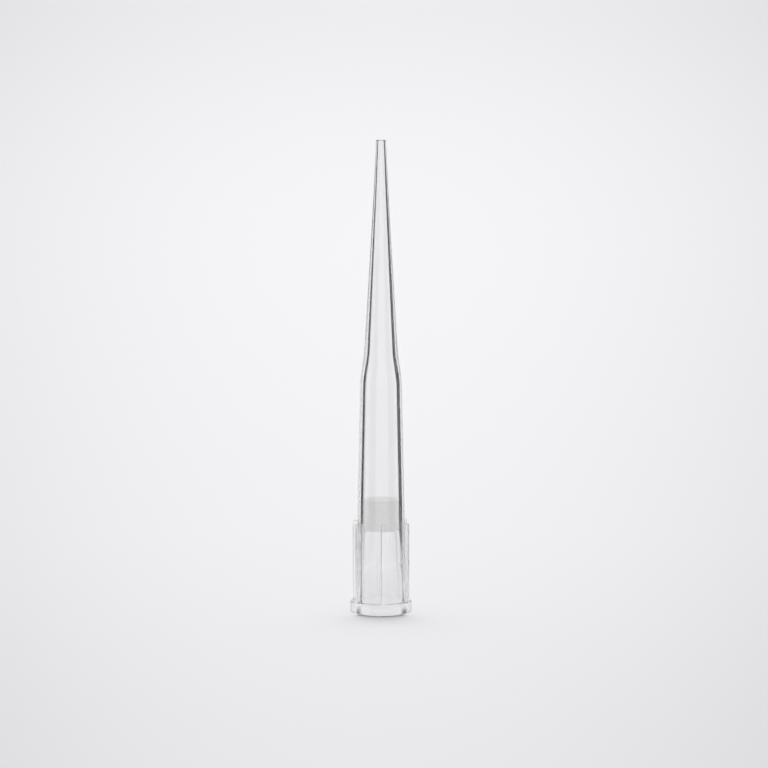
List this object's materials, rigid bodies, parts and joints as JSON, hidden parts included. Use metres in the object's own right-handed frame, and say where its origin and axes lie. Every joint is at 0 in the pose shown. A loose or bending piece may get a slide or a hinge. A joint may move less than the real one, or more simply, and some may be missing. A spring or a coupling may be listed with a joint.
{
  "type": "filter pipette tip",
  "caption": "Clear tapered pipette tip with a finned, rimmed socket at one end, a fine orifice at the other and a white porous plug in its bore.",
  "frame": {"origin": "middle of the rim's open face, which is the lowest face as the tip stands", "axes": "+Z along the bore, from the open socket to the orifice; one fin stands on -Y"},
  "size_m": [0.0076, 0.0076, 0.0595],
  "materials": {
    "tip_body": "clear natural polypropylene with polished moulded faces and a very slight haze",
    "filter_plug": "white sintered polyethylene, matt and finely granular"
  },
  "bodies": {
    "root": {"tip_body": "tip_body", "filter_plug": "filter_plug"}
  },
  "joints": []
}
